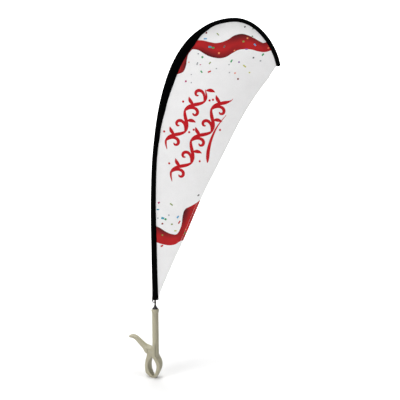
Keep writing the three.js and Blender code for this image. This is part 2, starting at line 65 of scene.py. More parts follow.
# ---------------- camera, light and floor
CAMERA_SHIFT = Vector((-0.0038, -0.0125, 0.0155))  # from the middle of the CAD's box to the point looked at
CAMERA_DISTANCE = 1.7
CAMERA_ELEVATION = math.radians(8)
LENS = 52.76  # millimetres, on a sensor 36 wide
FLOOR_HALF = 2.6
FLOOR_FRONT, FLOOR_BACK = -3.5, 2.0
FLOOR_BEND = 1.2  # radius of the curve between the floor and the wall
WALL_TOP = 5.0
WINDOW_WAY = (-0.78, -0.62, 0.0)
ROOM_DIM, ROOM_BRIGHT = 0.06, 0.80


def add_object(name, data):
    obj = bpy.data.objects.new(name, data)
    bpy.context.scene.collection.objects.link(obj)
    return obj


def look_at(obj, point):
    obj.rotation_mode = "QUATERNION"
    obj.rotation_quaternion = (point - obj.location).to_track_quat("-Z", "Y")


def add_camera():
    low, high = (Vector(corner) for corner in CAD_BOX)
    target = (low + high) / 2 + CAMERA_SHIFT
    data = bpy.data.cameras.new("camera")
    data.lens, data.sensor_width = LENS, 36
    camera = add_object("camera", data)
    back = Vector((0, -math.cos(CAMERA_ELEVATION), math.sin(CAMERA_ELEVATION)))
    camera.location = target + CAMERA_DISTANCE * back
    look_at(camera, target)
    bpy.context.scene.camera = camera
    return target


def add_area_light(name, place, target, size, watts):
    data = bpy.data.lights.new(name, "AREA")
    data.shape, data.size, data.energy = "DISK", size, watts
    lamp = add_object(name, data)
    lamp.location = place
    look_at(lamp, target)


def add_floor():
    """A pale floor that curves up into a wall far behind."""
    profile = [(FLOOR_FRONT, 0.0), (FLOOR_BACK, 0.0)]
    steps = 12
    for step in range(1, steps + 1):
        angle = math.radians(90 * step / steps)
        profile.append((FLOOR_BACK + FLOOR_BEND * math.sin(angle), FLOOR_BEND * (1 - math.cos(angle))))
    profile.append((FLOOR_BACK + FLOOR_BEND, WALL_TOP))
    level = CAD_BOX[0][2] - 0.2 * MM
    verts = [(x, y, level + z) for y, z in profile for x in (-FLOOR_HALF, FLOOR_HALF)]
    faces = [(2 * i, 2 * i + 1, 2 * i + 3, 2 * i + 2) for i in range(len(profile) - 1)]
    floor = new_object("floor", verts, faces)
    shade_smooth(floor.data)
    floor.data.materials.append(floor_material())


def set_range(ramp, low, high, out_low, out_high):
    for key, number in zip(("From Min", "From Max", "To Min", "To Max"), (low, high, out_low, out_high)):
        ramp.inputs[key].default_value = number


def light_room():
    """A pale room that is brightest to the left of the front, as beside a window."""
    world = bpy.data.worlds.new("room")
    bpy.context.scene.world = world
    world.use_nodes = True
    tree = world.node_tree
    background = next(n for n in tree.nodes if n.type == "BACKGROUND")
    background.inputs["Color"].default_value = (1, 1, 1, 1)
    way = tree.nodes.new("ShaderNodeTexCoord")
    facing = tree.nodes.new("ShaderNodeVectorMath")
    facing.operation = "DOT_PRODUCT"
    facing.inputs[1].default_value = WINDOW_WAY
    ramp = tree.nodes.new("ShaderNodeMapRange")
    ramp.interpolation_type = "SMOOTHSTEP"
    set_range(ramp, -0.5, 1.0, ROOM_DIM, ROOM_BRIGHT)
    tree.links.new(way.outputs["Generated"], facing.inputs[0])
    tree.links.new(facing.outputs["Value"], ramp.inputs["Value"])
    tree.links.new(ramp.outputs["Result"], background.inputs["Strength"])


# ---------------- materials
class Look:
    """A node material: a Principled shader, and short calls that add what drives it."""

    def __init__(self, name, colour, roughness, metallic=0.0, specular=0.5):
        self.material = bpy.data.materials.new(name)
        self.material.use_nodes = True
        self.tree = self.material.node_tree
        self.shader = next(n for n in self.tree.nodes if n.type == "BSDF_PRINCIPLED")
        self.set("Base Color", (*colour, 1))
        self.set("Roughness", roughness)
        self.set("Metallic", metallic)
        self.set("Specular IOR Level", specular)

    def set(self, socket, value):
        self.shader.inputs[socket].default_value = value

    def node(self, kind, settings=None, **inputs):
        made = self.tree.nodes.new(kind)
        for key, value in (settings or {}).items():
            setattr(made, key, value)
        for key, value in inputs.items():
            self.feed(made.inputs[key.replace("_", " ")], value)
        return made

    def feed(self, socket, value):
        if isinstance(value, bpy.types.NodeSocket):
            self.tree.links.new(value, socket)
        else:
            socket.default_value = value

    def place(self, scale=(1, 1, 1)):
        where = self.node("ShaderNodeTexCoord").outputs["Object"]
        mapping = self.node("ShaderNodeMapping", Vector=where)
        mapping.inputs["Scale"].default_value = scale
        return mapping.outputs["Vector"]

    def noise(self, scale, detail=3.0, where=None):
        where = where or self.place()
        return self.node("ShaderNodeTexNoise", Vector=where, Scale=scale, Detail=detail).outputs["Fac"]

    def waves(self, scale, axis):
        settings = {"wave_type": "BANDS", "bands_direction": axis}
        return self.node("ShaderNodeTexWave", settings, Vector=self.place(), Scale=scale).outputs["Fac"]

    def remap(self, value, low, high, out_low, out_high):
        made = self.node("ShaderNodeMapRange", Value=value)
        set_range(made, low, high, out_low, out_high)
        return made.outputs["Result"]

    def math(self, operation, a, b):
        made = self.node("ShaderNodeMath", {"operation": operation})
        self.feed(made.inputs[0], a)
        self.feed(made.inputs[1], b)
        return made.outputs[0]

    def mix(self, share, a, b, mode="MIX"):
        made = self.node("ShaderNodeMix", {"data_type": "RGBA", "blend_type": mode})
        self.feed(made.inputs["Factor"], share)
        self.feed(made.inputs[6], a if isinstance(a, bpy.types.NodeSocket) else (*a, 1))
        self.feed(made.inputs[7], b if isinstance(b, bpy.types.NodeSocket) else (*b, 1))
        return made.outputs[2]

    def colour(self, socket):
        self.feed(self.shader.inputs["Base Color"], socket)
        return self

    def rough(self, socket):
        self.feed(self.shader.inputs["Roughness"], socket)
        return self

    def bump(self, height, distance, strength=1.0):
        made = self.node("ShaderNodeBump", Height=height, Distance=distance, Strength=strength)
        self.feed(self.shader.inputs["Normal"], made.outputs["Normal"])
        return self


def floor_material():
    """Pale paper that glows towards the wall and to the right, where the lamps don't reach."""
    look = Look("pale_floor", (0.84, 0.84, 0.84), 0.9, specular=0.1)
    look.colour(look.mix(look.noise(3.0), (0.83, 0.83, 0.83), (0.86, 0.86, 0.86)))
    look.set("Emission Color", (1, 1, 1, 1))
    where = look.node("ShaderNodeSeparateXYZ", Vector=look.place()).outputs
    behind = look.remap(where["Y"], 0.12, 2.0, 0.0, 1.0)
    beside = look.remap(where["X"], 0.3, 0.75, 0.0, 0.2)
    look.feed(look.shader.inputs["Emission Strength"], look.math("ADD", behind, beside))
    return look.material


def clamp_plastic():
    """Beige-khaki moulded plastic: fine grain, cloudy colour, edges rubbed paler, and painted shade that
    darkens its hollows.
    """
    look = Look("clamp_plastic", (0.31, 0.29, 0.21), 0.5, specular=0.25)
    base = look.mix(look.noise(14.0, 4.0), (0.362, 0.340, 0.246), (0.425, 0.393, 0.292))
    specks = look.remap(look.noise(900.0, 2.0), 0.62, 0.72, 0.0, 0.35)
    base = look.mix(specks, base, (0.19, 0.175, 0.125))
    edge = look.node("ShaderNodeNewGeometry").outputs["Pointiness"]
    worn = look.math("MULTIPLY", look.remap(edge, 0.53, 0.60, 0.0, 1.0), look.noise(160.0, 4.0))
    base = look.mix(worn, base, (0.55, 0.53, 0.45))
    # Painted shade: the colour darkens in hollows and inner corners, where shade falls.
    hollow_shade = look.remap(edge, 0.40, 0.48, 0.75, 0.0)
    look.colour(look.mix(hollow_shade, base, (0.12, 0.11, 0.075)))
    look.rough(look.remap(look.noise(60.0, 5.0), 0.3, 0.7, 0.42, 0.6))
    return look.bump(look.noise(1500.0, 3.0), 0.00012, 0.35).material


def black_plastic():
    look = Look("black_plastic", (0.012, 0.010, 0.010), 0.35)
    look.colour(look.mix(look.noise(120.0), (0.006, 0.005, 0.005), (0.016, 0.012, 0.011)))
    look.rough(look.remap(look.noise(300.0, 4.0), 0.3, 0.7, 0.26, 0.48))
    return look.bump(look.noise(2200.0), 0.00005, 0.4).material


def metal(name, dark, light, roughness):
    """Plated steel with fine scratches round it."""
    look = Look(name, light, roughness, metallic=1.0)
    scratches = look.noise(900.0, 4.0, where=look.place((1, 1, 8)))
    look.colour(look.mix(scratches, dark, light))
    look.rough(look.remap(scratches, 0.3, 0.7, roughness * 0.7, roughness * 1.5))
    return look.bump(scratches, 0.00002, 0.3).material


def dark_lacquer():
    look = Look("dark_lacquer", (0.03, 0.02, 0.018), 0.3, specular=0.6)
    scratches = look.noise(700.0, 4.0, where=look.place((6, 6, 1)))
    base = look.mix(scratches, (0.018, 0.011, 0.010), (0.05, 0.036, 0.032))
    rubbed = look.remap(look.noise(240.0, 5.0), 0.66, 0.74, 0.0, 0.5)
    look.colour(look.mix(rubbed, base, (0.13, 0.10, 0.09)))
    return look.rough(look.remap(scratches, 0.3, 0.7, 0.22, 0.45)).material


def pole_rod():
    look = Look("pole_rod", (0.015, 0.015, 0.016), 0.4)
    fibres = look.noise(1200.0, 3.0, where=look.place((1, 1, 0.05)))
    look.colour(look.mix(fibres, (0.008, 0.008, 0.009), (0.03, 0.03, 0.032)))
    return look.rough(look.remap(fibres, 0.3, 0.7, 0.3, 0.5)).material


WEAVE = 196.0  # wave texture scale of the threads, one each 1.6 mm


def weave(look, depth):
    """A plain weave: threads both ways, and a little unevenness."""
    threads = look.math("ADD", look.waves(WEAVE, "X"), look.waves(WEAVE, "Z"))
    uneven = look.noise(500.0, 4.0)
    look.bump(look.math("ADD", threads, uneven), depth, 0.35)
    return uneven


def black_cloth():
    look = Look("black_cloth", (0.001, 0.001, 0.001), 0.95, specular=0.015)
    uneven = weave(look, 0.00012)
    faded = look.mix(look.noise(18.0, 3.0), (0.0006, 0.0006, 0.0007), (0.0014, 0.0014, 0.0016))
    return look.colour(look.mix(uneven, faded, (0.0016, 0.0016, 0.0018))).material


def printed_cloth():
    """White polyester whose print comes from the mesh's own colours."""
    look = Look("printed_cloth", (0.77, 0.77, 0.77), 0.82, specular=0.2)
    look.set("Sheen Weight", 0.06)
    look.set("Sheen Roughness", 0.5)
    ink = look.node("ShaderNodeVertexColor", {"layer_name": "Print"}).outputs["Color"]
    uneven = weave(look, 0.00010)
    mottled = look.remap(look.noise(35.0, 4.0), 0.3, 0.7, 0.965, 1.0)
    grain = look.remap(uneven, 0.3, 0.7, 0.96, 1.02)
    shade = look.math("MULTIPLY", mottled, grain)
    grey = look.node("ShaderNodeCombineColor", Red=shade, Green=shade, Blue=shade).outputs[0]
    return look.colour(look.mix(1.0, ink, grey, "MULTIPLY")).material


def thread(name, dark, light):
    look = Look(name, light, 0.75, specular=0.25)
    twist = look.noise(3000.0, 2.0, where=look.place((1, 1, 2)))
    look.colour(look.mix(twist, dark, light))
    return look.bump(twist, 0.00008, 0.5).material


# ---------------- mesh helpers
def new_object(name, verts, faces):
    mesh = bpy.data.meshes.new(name)
    mesh.from_pydata([tuple(v) for v in verts], [], faces)
    mesh.validate()
    mesh.update()
    return add_object(name, mesh)


def shade_smooth(mesh, sharp=None):
    mesh.polygons.foreach_set("use_smooth", [True] * len(mesh.polygons))
    if sharp is not None:
        mesh.set_sharp_from_angle(angle=math.radians(sharp))


def finished(obj, look, body="pole", stands_for=(), sharp=None):
    """Everything that each new piece needs: its material, its shading, its body."""
    obj.data.materials.append(look)
    shade_smooth(obj.data, sharp)
    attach(obj, body)
    if stands_for:
        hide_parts(*stands_for)
    return obj


def apply_modifiers(obj):
    graph = bpy.context.evaluated_depsgraph_get()
    mesh = bpy.data.meshes.new_from_object(obj.evaluated_get(graph))
    obj.modifiers.clear()
    obj.data = mesh
    return obj


def merged(node):
    """A CAD node's mesh with its doubled vertices merged: (vertices, triangles)."""
    mesh = NODES[node].data
    co = np.array([v.co for v in mesh.vertices])
    mesh.calc_loop_triangles()
    tris = np.array([t.vertices for t in mesh.loop_triangles])
    _, first, back = np.unique(
        np.round(co * 1e6).astype(int), axis=0, return_index=True, return_inverse=True
    )
    tris = back.reshape(-1)[tris]
    keep = (tris[:, 0] != tris[:, 1]) & (tris[:, 1] != tris[:, 2]) & (tris[:, 0] != tris[:, 2])
    return co[first], tris[keep]


def outline(node):
    """The edge of a flat node, as ordered (x, z) points, read from its front face."""
    co, tris = merged(node)
    front = co[:, 1] < co[:, 1].min() + 0.02 * MM
    edges = Counter()
    for tri in tris[front[tris].all(axis=1)]:
        edges.update((tri[i], tri[(i + 1) % 3]) for i in range(3))
    following = {a: b for a, b in edges if (b, a) not in edges}
    start = next(iter(following))
    loop, at = [start], following[start]
    while at != start:
        loop.append(at)
        at = following[at]
    return co[loop][:, [0, 2]]


def lengths_along(points):
    steps = np.linalg.norm(np.diff(points, axis=0), axis=1)
    return np.concatenate([[0.0], np.cumsum(steps)])


def smooth_line(points, count):
    """Points evenly spaced along a smooth curve through the given ones."""
    points = np.asarray(points, float)
    padded = np.vstack([2 * points[0] - points[1], points, 2 * points[-1] - points[-2]])
    dense = []
    for i in range(1, len(padded) - 2):
        a, b, c, d = padded[i - 1 : i + 3]
        for t in np.linspace(0, 1, 12, endpoint=False):
            square = 2 * b + (c - a) * t + (2 * a - 5 * b + 4 * c - d) * t * t
            dense.append(0.5 * (square + (3 * b - 3 * c + d - a) * t**3))
    dense = np.array(dense + [points[-1]])
    along = lengths_along(dense)
    at = np.linspace(0, along[-1], count)
    return np.stack([np.interp(at, along, dense[:, k]) for k in range(points.shape[1])], 1)


def unit(rows):
    return rows / np.linalg.norm(rows, axis=1)[:, None]


def normals_of(line):
    """Unit normals of a line in the plane, to the right of its direction."""
    t = unit(np.gradient(line, axis=0))
    return np.stack([t[:, 1], -t[:, 0]], 1)


def clearance(line, points):
    """Each point's distance to the nearest point of a line."""
    return np.array([math.sqrt(((line - p) ** 2).sum(1).min()) for p in points])


def cross(a, b):
    """Twice the signed areas of the triangles that two arrays of plane vectors span."""
    return a[:, 0] * b[:, 1] - a[:, 1] * b[:, 0]


def around(count):
    return [2 * math.pi * k / count for k in range(count)]


def inside(points, polygon):
    """Which points lie in a closed polygon."""
    hit = np.zeros(len(points), bool)
    x, y = points[:, 0], points[:, 1]
    for (x1, y1), (x2, y2) in zip(polygon, np.roll(polygon, -1, axis=0)):
        if y1 == y2:
            continue
        crosses = (y1 > y) != (y2 > y)
        hit ^= crosses & (x < (x2 - x1) * (y - y1) / (y2 - y1) + x1)
    return hit


# ---------------- the flag's outline, from the CAD
def split_band(node):
    """The inner and outer edges of the sleeve, from its foot to its end."""
    loop = outline(node)
    sides = unit(np.roll(loop, -1, axis=0) - loop)
    turn = 1 - (sides * np.roll(sides, 1, axis=0)).sum(1)
    # A square end turns sharply at both of its corners.
    first, second = sorted(np.argsort(turn + np.roll(turn, -1))[-2:])
    one = loop[first + 1 : second + 1]
    other = np.vstack([loop[second + 1 :], loop[: first + 1]])
    one, other = (p if p[0][1] < p[-1][1] or p[0][0] < p[-1][0] else p[::-1] for p in (one, other))
    return (one, other) if one[0][0] > other[0][0] else (other, one)


SLEEVE_INNER, SLEEVE_OUTER = split_band("sleeve")
PANEL_LOW, PANEL_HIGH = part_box("flag_panel")
CLOTH_Y = (PANEL_LOW.y + PANEL_HIGH.y) / 2


def pocket_edges():
    """The pocket's inner and outer edges from its mouth, and the point of its nose."""
    loop = outline("tip_pocket")
    mouth = int(np.argmin(np.linalg.norm(loop - SLEEVE_INNER[-1], axis=1)))
    loop = np.roll(loop, -mouth, axis=0)
    second, last = (np.linalg.norm(loop[i] - SLEEVE_OUTER[-1]) for i in (1, -1))
    if second < last:
        loop = np.roll(loop[::-1], 1, axis=0)
    half = len(loop) // 2
    return loop[:half], loop[half + 1 :][::-1], loop[half]


POCKET_INNER, POCKET_OUTER, POCKET_NOSE = pocket_edges()


def free_edge():
    """The flag's free edge, from its top end to its foot."""
    hem, panel = outline("trailing_hem"), outline("flag_panel")
    gaps = clearance(panel, hem)
    loop = np.roll(hem, -int(np.argmin(gaps)), axis=0)
    gaps = np.roll(gaps, -int(np.argmin(gaps)))
    line = loop[gaps > 5 * MM]
    return line if line[0][1] > line[-1][1] else line[::-1]


FREE_EDGE = smooth_line(free_edge(), 200)
SEAM = smooth_line(np.vstack([SLEEVE_INNER, POCKET_INNER[1:]]), 260)
# +1 where normals_of(FREE_EDGE) points away from the cloth.
FREE_SIDE = 1.0 if normals_of(FREE_EDGE)[100] @ (FREE_EDGE[100] - SEAM[130]) > 0 else -1.0


def panel_point(across, up):
    """A point of the print, given as shares of the panel's box."""
    return (
        PANEL_LOW.x + across * (PANEL_HIGH.x - PANEL_LOW.x),
        PANEL_LOW.z + up * (PANEL_HIGH.z - PANEL_LOW.z),
    )


# ---------------- the print
WHITE = (0.865, 0.86, 0.862)
INKS = {
    "brown": (0.20, 0.03, 0.03),
    "sky": (0.10, 0.36, 0.60),
    "olive": (0.22, 0.28, 0.07),
    "slate": (0.11, 0.11, 0.11),
    "moss": (0.07, 0.16, 0.04),
    "teal": (0.05, 0.32, 0.42),
    "green": (0.04, 0.32, 0.10),
    "orange": (0.80, 0.24, 0.10),
    "violet": (0.26, 0.10, 0.36),
    "steel": (0.36, 0.37, 0.39),
    "yellow": (0.50, 0.50, 0.08),
    "red": (0.50, 0.03, 0.03),
    "pink": (0.42, 0.02, 0.14),
}
# Confetti: place as shares of the panel's box, ink, length and width in millimetres, turn in degrees.
CONFETTI = [
    (0.422, 0.962, "brown", 4.6, 4.6, 20),
    (0.414, 0.941, "sky", 8.7, 3.5, 0),
    (0.515, 0.957, "olive", 8.1, 2.9, -45),
    (0.733, 0.983, "slate", 4.6, 4.1, 30),
    (0.801, 0.978, "moss", 6.4, 2.6, 50),
    (0.794, 0.950, "moss", 4.1, 2.9, 0),
    (0.451, 0.912, "teal", 8.7, 4.6, -10),
    (0.477, 0.909, "green", 6.4, 4.6, -10),
    (0.568, 0.913, "slate", 7.0, 4.1, 60),
    (0.722, 0.931, "olive", 5.2, 4.6, 0),
    (0.754, 0.943, "orange", 4.6, 4.1, 0),
    (0.815, 0.920, "sky", 7.0, 4.1, -50),
    (0.747, 0.904, "violet", 6.4, 3.5, 0),
    (0.524, 0.890, "orange", 5.2, 5.2, 0),
    (0.650, 0.899, "orange", 4.6, 3.5, 30),
    (0.925, 0.909, "orange", 4.1, 3.5, 0),
    (0.390, 0.876, "green", 5.2, 5.2, 30),
    (0.349, 0.853, "steel", 7.5, 3.8, 65),
    (0.451, 0.855, "olive", 7.0, 3.5, 45),
    (0.626, 0.862, "green", 8.7, 3.8, 55),
    (0.881, 0.885, "green", 7.5, 4.1, 45),
    (0.687, 0.858, "violet", 4.6, 4.1, 0),
    (0.732, 0.844, "yellow", 9.3, 3.8, -40),
    (0.804, 0.874, "slate", 4.6, 4.3, 0),
    (0.862, 0.863, "steel", 4.6, 3.8, 0),
    (0.382, 0.824, "green", 7.0, 3.8, -55),
    (0.447, 0.824, "red", 9.3, 4.3, 20),
    (0.655, 0.819, "orange", 4.6, 3.8, 0),
    (0.610, 0.821, "steel", 3.8, 3.5, 0),
    (0.680, 0.798, "brown", 4.9, 4.6, 0),
    (0.773, 0.821, "yellow", 4.3, 3.5, 0),
    (0.255, 0.790, "pink", 4.9, 4.9, 0),
    (0.300, 0.785, "steel", 3.5, 3.5, 0),
    (0.300, 0.814, "steel", 3.5, 2.6, 0),
    (0.504, 0.835, "steel", 3.8, 3.5, 0),
    (0.606, 0.849, "steel", 3.5, 2.9, 0),
    (0.374, 0.849, "pink", 4.1, 2.3, 0),
    (0.280, 0.858, "orange", 3.5, 2.9, 0),
    (0.357, 0.888, "steel", 4.1, 3.5, 0),
    (0.025, 0.342, "pink", 5.8, 4.9, 30),
    (0.130, 0.336, "olive", 9.3, 3.8, -40),
    (0.358, 0.371, "slate", 6.4, 3.8, 35),
    (0.016, 0.316, "teal", 7.5, 3.5, 0),
    (0.056, 0.283, "teal", 8.7, 6.4, -15),
    (0.080, 0.279, "green", 5.8, 5.8, -30),
    (0.108, 0.295, "steel", 4.1, 3.8, 0),
    (0.015, 0.283, "steel", 3.8, 3.5, 0),
    (0.184, 0.288, "sky", 8.1, 4.6, 45),
    (0.053, 0.262, "brown", 5.2, 4.9, 0),
    (0.196, 0.268, "red", 9.9, 3.8, 55),
    (0.133, 0.260, "olive", 5.2, 4.1, 0),
    (0.162, 0.235, "yellow", 7.0, 3.5, 0),
    (0.251, 0.241, "orange", 3.8, 3.8, 0),
    (0.242, 0.226, "moss", 7.5, 4.1, 60),
    (0.047, 0.176, "red", 8.1, 4.6, 25),
    (0.052, 0.218, "olive", 4.1, 4.1, 0),
]
# Ribbons: the two edges of each, as shares of the panel's box, and how dark each edge is along it.
RIBBONS = {
    "top": (
        [(0.27, 0.930), (0.349, 0.936), (0.398, 0.935), (0.455, 0.929), (0.503, 0.926), (0.552, 0.930),
         (0.600, 0.939), (0.641, 0.951), (0.681, 0.957), (0.721, 0.958), (0.762, 0.953), (0.811, 0.943),
         (0.859, 0.931), (0.892, 0.927), (0.94, 0.939), (1.0, 0.95)],
        [(0.25, 0.895), (0.309, 0.904), (0.357, 0.901), (0.398, 0.890), (0.439, 0.880), (0.487, 0.874),
         (0.536, 0.872), (0.585, 0.877), (0.633, 0.890), (0.682, 0.901), (0.731, 0.904), (0.787, 0.903),
         (0.836, 0.897), (0.893, 0.894), (0.95, 0.901), (1.0, 0.91)],
        [0.1, 0.1, 0.1, 0.15, 0.2, 0.3, 0.5, 0.8, 1.0, 1.0, 0.95, 0.9, 0.8, 0.6, 0.3, 0.2],
        [0.6, 0.6, 0.75, 0.9, 1.0, 1.0, 0.95, 0.8, 0.5, 0.25, 0.1, 0.1, 0.1, 0.1, 0.1, 0.1],
    ),
    "tail": (
        [(0.24, 0.93), (0.22, 0.90), (0.20, 0.88), (0.18, 0.86), (0.15, 0.84), (0.13, 0.82), (0.11, 0.80)],
        [(0.325, 0.915), (0.301, 0.901), (0.276, 0.887), (0.264, 0.865), (0.256, 0.845), (0.231, 0.823),
         (0.165, 0.813)],
        [1.0, 1.0, 1.0, 1.0, 1.0, 0.9, 0.9],
        [0.3, 0.6, 0.9, 1.0, 0.9, 0.7, 0.6],
    ),
    "bottom": (
        [(-0.06, 0.262), (0.002, 0.252), (0.035, 0.245), (0.077, 0.233), (0.120, 0.224), (0.166, 0.221),
         (0.187, 0.229), (0.205, 0.245), (0.217, 0.264), (0.224, 0.291), (0.235, 0.310), (0.252, 0.321)],
        [(-0.06, 0.190), (0.004, 0.189), (0.034, 0.185), (0.085, 0.180), (0.119, 0.179), (0.161, 0.183),
         (0.204, 0.195), (0.262, 0.206), (0.282, 0.226), (0.308, 0.250), (0.338, 0.285), (0.36, 0.31)],
        [1.0, 1.0, 0.95, 0.9, 0.85, 0.7, 0.4, 0.5, 0.8, 1.0, 1.1, 1.2],
        [0.3, 0.2, 0.0, 0.0, 0.1, 0.2, 0.5, 0.5, 0.3, 0.4, 0.5, 0.5],
    ),
    "fold": (
        [(0.252, 0.321), (0.290, 0.329), (0.332, 0.340), (0.370, 0.352), (0.41, 0.362)],
        [(0.252, 0.321), (0.300, 0.312), (0.345, 0.306), (0.39, 0.318), (0.42, 0.345)],
        [0.6, 0.3, 0.1, 0.1, 0.1],
        [0.7, 0.5, 0.2, 0.1, 0.1],
    ),
}
RIBBON_STEPS = 60
RED = np.array((0.52, 0.014, 0.016))
DARK_RED = np.array((0.085, 0.007, 0.010))
ORNAMENT_RED = (0.50, 0.004, 0.010)
INK_SPREAD = 1.05


def stroke(line, widths):
    """A closed outline round a line whose width changes along it."""
    sides = normals_of(line) * (np.asarray(widths) / 2)[:, None]
    return np.vstack([line + sides, (line - sides)[::-1]])


def curl(foot, size, turn, flip, thick):
    """A tendril that leaves its foot and winds up into a small spiral."""
    count = 46
    s = np.linspace(0, 1, count)
    heading = turn + flip * (5.4 * s**1.7 - 0.5)
    pace = 1 - 0.55 * s
    line = np.cumsum(np.stack([np.cos(heading), np.sin(heading)], 1) * pace[:, None], axis=0) / count
    line = foot + (line - line[0]) * size
    return stroke(line, thick * (0.25 + 0.75 * np.sin(math.pi * np.clip(s * 0.9 + 0.05, 0, 1))))


def bud(centre, radius):
    angles = np.linspace(0, 2 * math.pi, 12, endpoint=False)
    return np.array(centre) + radius * np.stack([np.cos(angles), np.sin(angles)], 1)


def leaf(foot, length, width, turn):
    """A pointed leaf."""
    t = np.linspace(0, 1, 9)
    line = np.stack([length * t, 0.12 * length * np.sin(math.pi * t)], 1)
    c, sn = math.cos(turn), math.sin(turn)
    line = line @ np.array([[c, sn], [-sn, c]]) + foot
    return stroke(line, width * np.sin(math.pi * np.clip(t, 0.02, 0.98)) ** 0.8)


# The ornament climbs the flag at a slant.
ORNAMENT_TURN = math.radians(57)
ORNAMENT_FOOT = np.array(panel_point(0.125, 0.405))
# Each vine: start along the slant and place across it, number of bends, their pitch and their swing.
VINES = [(84, 66, 4, 50, 17), (14, 4, 5.5, 53, 18)]
SWOOSH = [(0.585, 0.668), (0.514, 0.627), (0.466, 0.583), (0.440, 0.539), (0.432, 0.492)]


def on_slant(along, across):
    """A point of the print, by millimetres along the ornament's slant and to the left of it."""
    c, s = math.cos(ORNAMENT_TURN), math.sin(ORNAMENT_TURN)
    return ORNAMENT_FOOT + MM * np.array((along * c - across * s, along * s + across * c))


def ornament():
    """Two rows of a winding vine with curled tendrils, leaves and buds."""
    shapes = []
    for start, across, bends, pitch, swing in VINES:
        s = np.linspace(0, bends, int(bends * 16))
        path = [on_slant(start + t * pitch, across + swing * math.sin(math.pi * t)) for t in s]
        wide = 5.0 + 5.0 * np.abs(np.cos(math.pi * s)) ** 1.5
        wide *= np.clip(np.minimum(s, bends - s) * 2.2 + 0.15, 0, 1)
        shapes.append(stroke(np.array(path), wide * MM))
        for i in range(int(bends)):
            flip = 1 if i % 2 else -1
            along = start + (i + 0.40) * pitch
            foot = on_slant(along, across - flip * swing * 0.9)
            shapes.append(curl(foot, 92 * MM, ORNAMENT_TURN + flip * 0.9, flip, 9.0 * MM))
            root = on_slant(start + (i + 0.95) * pitch, across - flip * 3)
            shapes.append(leaf(root, 27 * MM, 10 * MM, ORNAMENT_TURN - flip * 1.15))
            shapes.append(bud(on_slant(along + 18, across - flip * (swing + 17)), 3.2 * MM))
    count = 40
    swoosh = smooth_line([panel_point(*p) for p in SWOOSH], count)
    t = np.linspace(0, 1, count)
    shapes.append(stroke(swoosh, MM * (1.5 + 12 * t**1.2 * (1 - t**12))))
    return shapes


def confetti_outlines():
    """The ink and the slightly uneven four corners of each piece of confetti."""
    for across, up, ink, length, width, turn in CONFETTI:
        x, z = panel_point(across, up)
        a = math.radians(turn)
        u = np.array((math.cos(a), math.sin(a))) * length / 2 * MM * INK_SPREAD
        v = np.array((-math.sin(a), math.cos(a))) * width / 2 * MM * INK_SPREAD
        yield ink, np.array((x, z)) + np.array([-u - v, u - 0.8 * v, u + v, -0.9 * u + v])


class Print:
    """The print's regions in order, the last on top, and the ink at any point of the cloth."""

    def __init__(self):
        self.regions = []
        for name in ("tail", "top", "bottom", "fold"):
            upper, lower, dark_up, dark_low = RIBBONS[name]
            one = smooth_line([panel_point(*p) for p in upper], RIBBON_STEPS)
            two = smooth_line([panel_point(*p) for p in lower], RIBBON_STEPS)
            at = np.linspace(0, 1, len(dark_up))
            along = np.linspace(0, 1, RIBBON_STEPS)
            shade = np.stack([np.interp(along, at, dark_up), np.interp(along, at, dark_low)], 1)
            self.regions.append((np.vstack([one, two[::-1]]), ("ribbon", one, two, shade)))
        for ink, shape in confetti_outlines():
            self.regions.append((shape, INKS[ink]))
        for shape in ornament():
            self.regions.append((shape, ORNAMENT_RED))

    def ink(self, corners):
        """The colour at each corner of each face, from (faces, corners, 2) points.

        A face takes its ink from what lies under its middle, and a ribbon's shade changes across it.
        """
        middles = corners.mean(axis=1)
        colours = np.tile(WHITE, (*corners.shape[:2], 1)).astype(float)
        for shape, ink in self.regions:
            low, high = shape.min(0), shape.max(0)
            near = np.flatnonzero(((middles >= low) & (middles <= high)).all(1))
            hit = near[inside(middles[near], shape)] if len(near) else near
            if len(hit) and ink[0] == "ribbon":
                shades = self.ribbon(corners[hit].reshape(-1, 2), *ink[1:])
                colours[hit] = shades.reshape(len(hit), -1, 3)
            elif len(hit):
                colours[hit] = ink
        return colours

    @staticmethod
    def ribbon(points, one, two, shade):
        """Red satin that is darker where the ribbon turns away, by its place between the two edges."""
        across = two - one
        share = ((points[:, None] - one) * across).sum(2) / ((across**2).sum(1) + 1e-12)
        share = np.clip(share, 0, 1)
        gaps = ((points[:, None] - one - across * share[..., None]) ** 2).sum(2)
        weight = 1 / (gaps + 1e-7) ** 2
        weight /= weight.sum(1)[:, None]
        over = (share * weight).sum(1)
        dark_one, dark_two = weight @ shade[:, 0], weight @ shade[:, 1]
        dark = dark_one * np.clip(1 - 2 * over, 0, 1) ** 0.8
        dark = dark + dark_two * np.clip(2 * over - 1, 0, 1) ** 0.8
        gleam = 0.09 * np.sin(weight @ np.arange(len(one)) * 0.33)
        mixed = np.clip(dark * 0.85 + 0.12 - gleam, 0, 1)[:, None]
        return RED * (1 - mixed) + DARK_RED * mixed


PRINT = Print()


# ---------------- the cloth
CLOTH_THICK = 0.45 * MM
BILLOW = 7.0 * MM  # how far the cloth's middle stands out
GRID = 5.5 * MM
TUCK = 2.5 * MM  # how far the cloth reaches under the sleeve
HEM_PULL = 0.45  # tension of the free edge
PUCKER_PITCH, PUCKER_HEIGHT = 0.031, 0.32 * MM
FOLD_HEIGHT = 0.9 * MM


def cloth_outline():
    """The flat cloth's outline: tucked under the sleeve, and just inside the hem's fold."""
    tucked = SEAM + normals_of(SEAM) * -TUCK
    free = FREE_EDGE[2:-2] - normals_of(FREE_EDGE)[2:-2] * 0.8 * MM * FREE_SIDE
    return np.vstack([tucked, free])


